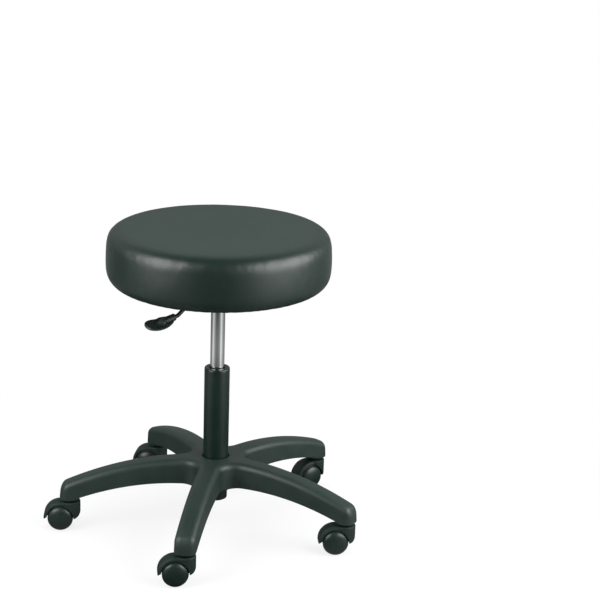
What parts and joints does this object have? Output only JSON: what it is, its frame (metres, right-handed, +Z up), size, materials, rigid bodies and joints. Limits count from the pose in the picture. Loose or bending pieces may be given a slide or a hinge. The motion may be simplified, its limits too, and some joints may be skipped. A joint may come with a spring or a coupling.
{
  "type": "rolling task stool",
  "caption": "Round padded stool on a height-adjustable gas lift with a paddle lever, over a moulded five-arm base with hooded twin-wheel casters.",
  "frame": {"origin": "on the floor, on the axis of the gas lift", "axes": "+Z up along the gas lift, -Y along the arm that points to the front"},
  "size_m": [0.621, 0.5772, 0.61],
  "materials": {
    "vinyl": "satin",
    "foam": "matte",
    "board": "matte",
    "black_steel": "satin",
    "plated_steel": "polished",
    "zinc_steel": "satin",
    "button_steel": "satin",
    "base_nylon": "satin",
    "caster_nylon": "satin",
    "wheel_nylon": "satin",
    "grip_plastic": "satin",
    "guide_plastic": "satin",
    "rubber": "matte"
  },
  "bodies": {
    "base": {"star_base": "base_nylon", "column_tube": "black_steel", "guide_bush": "guide_plastic", "bearing_race_lower": "zinc_steel", "caster_stem_1": "zinc_steel", "caster_stem_2": "zinc_steel", "caster_stem_3": "zinc_steel", "caster_stem_4": "zinc_steel", "caster_stem_5": "zinc_steel", "grip_ring_1": "zinc_steel", "grip_ring_2": "zinc_steel", "grip_ring_3": "zinc_steel", "grip_ring_4": "zinc_steel", "grip_ring_5": "zinc_steel"},
    "lift_rod": {"piston_rod": "zinc_steel", "piston": "guide_plastic", "thrust_bearing": "zinc_steel", "bearing_race_upper": "zinc_steel", "bumper": "rubber", "retaining_clip": "zinc_steel"},
    "seat": {"seat_cover": "vinyl", "seat_foam": "foam", "seat_board": "board", "seat_plate": "black_steel", "lever_pin": "zinc_steel", "seat_bolt_1": "zinc_steel", "seat_bolt_2": "zinc_steel", "seat_bolt_3": "zinc_steel", "seat_bolt_4": "zinc_steel", "tee_nut_1": "zinc_steel", "tee_nut_2": "zinc_steel", "tee_nut_3": "zinc_steel", "tee_nut_4": "zinc_steel", "gas_cylinder": "plated_steel", "rod_gland": "guide_plastic"},
    "lever": {"lever_rod": "black_steel", "lever_grip": "grip_plastic"},
    "button": {"release_button": "button_steel"},
    "caster_1": {"caster_hood_1": "caster_nylon", "caster_axle_1": "zinc_steel"},
    "wheel_1_a": {"wheel_1_a": "wheel_nylon"},
    "wheel_1_b": {"wheel_1_b": "wheel_nylon"},
    "caster_2": {"caster_hood_2": "caster_nylon", "caster_axle_2": "zinc_steel"},
    "wheel_2_a": {"wheel_2_a": "wheel_nylon"},
    "wheel_2_b": {"wheel_2_b": "wheel_nylon"},
    "caster_3": {"caster_hood_3": "caster_nylon", "caster_axle_3": "zinc_steel"},
    "wheel_3_a": {"wheel_3_a": "wheel_nylon"},
    "wheel_3_b": {"wheel_3_b": "wheel_nylon"},
    "caster_4": {"caster_hood_4": "caster_nylon", "caster_axle_4": "zinc_steel"},
    "wheel_4_a": {"wheel_4_a": "wheel_nylon"},
    "wheel_4_b": {"wheel_4_b": "wheel_nylon"},
    "caster_5": {"caster_hood_5": "caster_nylon", "caster_axle_5": "zinc_steel"},
    "wheel_5_a": {"wheel_5_a": "wheel_nylon"},
    "wheel_5_b": {"wheel_5_b": "wheel_nylon"}
  },
  "joints": [
    {"name": "seat_swivel", "type": "hinge", "parent": "base", "child": "lift_rod", "pos_m": [0, 0, 0.3], "axis": [0, 0, 1], "continuous": true},
    {"name": "seat_lift", "type": "slide", "parent": "lift_rod", "child": "seat", "axis": [0, 0, 1], "range_m": [-0.115, 0.01]},
    {"name": "lever_lift", "type": "hinge", "parent": "seat", "child": "lever", "pos_m": [-0.02319, -0.02487, 0.4868], "axis": [-0.7314, 0.682, 0], "range_deg": [0, 5.9], "stiffness_Nm_per_rad": 1.5},
    {"name": "release_press", "type": "slide", "parent": "seat", "child": "button", "axis": [0, 0, -1], "range_m": [0, 0.0036]},
    {"name": "caster_1_swivel", "type": "hinge", "parent": "base", "child": "caster_1", "pos_m": [0, -0.2876, 0.0585], "axis": [0, 0, 1], "continuous": true},
    {"name": "wheel_1_a_roll", "type": "hinge", "parent": "caster_1", "child": "wheel_1_a", "pos_m": [-0.01835, -0.29252, 0.025], "axis": [0.2588, -0.9659, 0], "continuous": true},
    {"name": "wheel_1_b_roll", "type": "hinge", "parent": "caster_1", "child": "wheel_1_b", "pos_m": [-0.01835, -0.29252, 0.025], "axis": [0.2588, -0.9659, 0], "continuous": true},
    {"name": "caster_2_swivel", "type": "hinge", "parent": "base", "child": "caster_2", "pos_m": [0.27352, -0.08887, 0.0585], "axis": [0, 0, 1], "continuous": true},
    {"name": "wheel_2_a_roll", "type": "hinge", "parent": "caster_2", "child": "wheel_2_a", "pos_m": [0.25501, -0.09315, 0.025], "axis": [0.225, -0.9744, 0], "continuous": true},
    {"name": "wheel_2_b_roll", "type": "hinge", "parent": "caster_2", "child": "wheel_2_b", "pos_m": [0.25501, -0.09315, 0.025], "axis": [0.225, -0.9744, 0], "continuous": true},
    {"name": "caster_3_swivel", "type": "hinge", "parent": "base", "child": "caster_3", "pos_m": [0.16905, 0.23267, 0.0585], "axis": [0, 0, 1], "continuous": true},
    {"name": "wheel_3_a_roll", "type": "hinge", "parent": "caster_3", "child": "wheel_3_a", "pos_m": [0.15538, 0.21948, 0.025], "axis": [0.6947, -0.7193, 0], "continuous": true},
    {"name": "wheel_3_b_roll", "type": "hinge", "parent": "caster_3", "child": "wheel_3_b", "pos_m": [0.15538, 0.21948, 0.025], "axis": [0.6947, -0.7193, 0], "continuous": true},
    {"name": "caster_4_swivel", "type": "hinge", "parent": "base", "child": "caster_4", "pos_m": [-0.16905, 0.23267, 0.0585], "axis": [0, 0, 1], "continuous": true},
    {"name": "wheel_4_a_roll", "type": "hinge", "parent": "caster_4", "child": "wheel_4_a", "pos_m": [-0.18804, 0.23201, 0.025], "axis": [0.0349, -0.9994, 0], "continuous": true},
    {"name": "wheel_4_b_roll", "type": "hinge", "parent": "caster_4", "child": "wheel_4_b", "pos_m": [-0.18804, 0.23201, 0.025], "axis": [0.0349, -0.9994, 0], "continuous": true},
    {"name": "caster_5_swivel", "type": "hinge", "parent": "base", "child": "caster_5", "pos_m": [-0.27352, -0.08887, 0.0585], "axis": [0, 0, 1], "continuous": true},
    {"name": "wheel_5_a_roll", "type": "hinge", "parent": "caster_5", "child": "wheel_5_a", "pos_m": [-0.29218, -0.0925, 0.025], "axis": [0.1908, -0.9816, 0], "continuous": true},
    {"name": "wheel_5_b_roll", "type": "hinge", "parent": "caster_5", "child": "wheel_5_b", "pos_m": [-0.29218, -0.0925, 0.025], "axis": [0.1908, -0.9816, 0], "continuous": true}
  ],
  "couplings": [
    {"joint": "release_press", "follows": "lever_lift", "m_per_rad": 0.034}
  ]
}
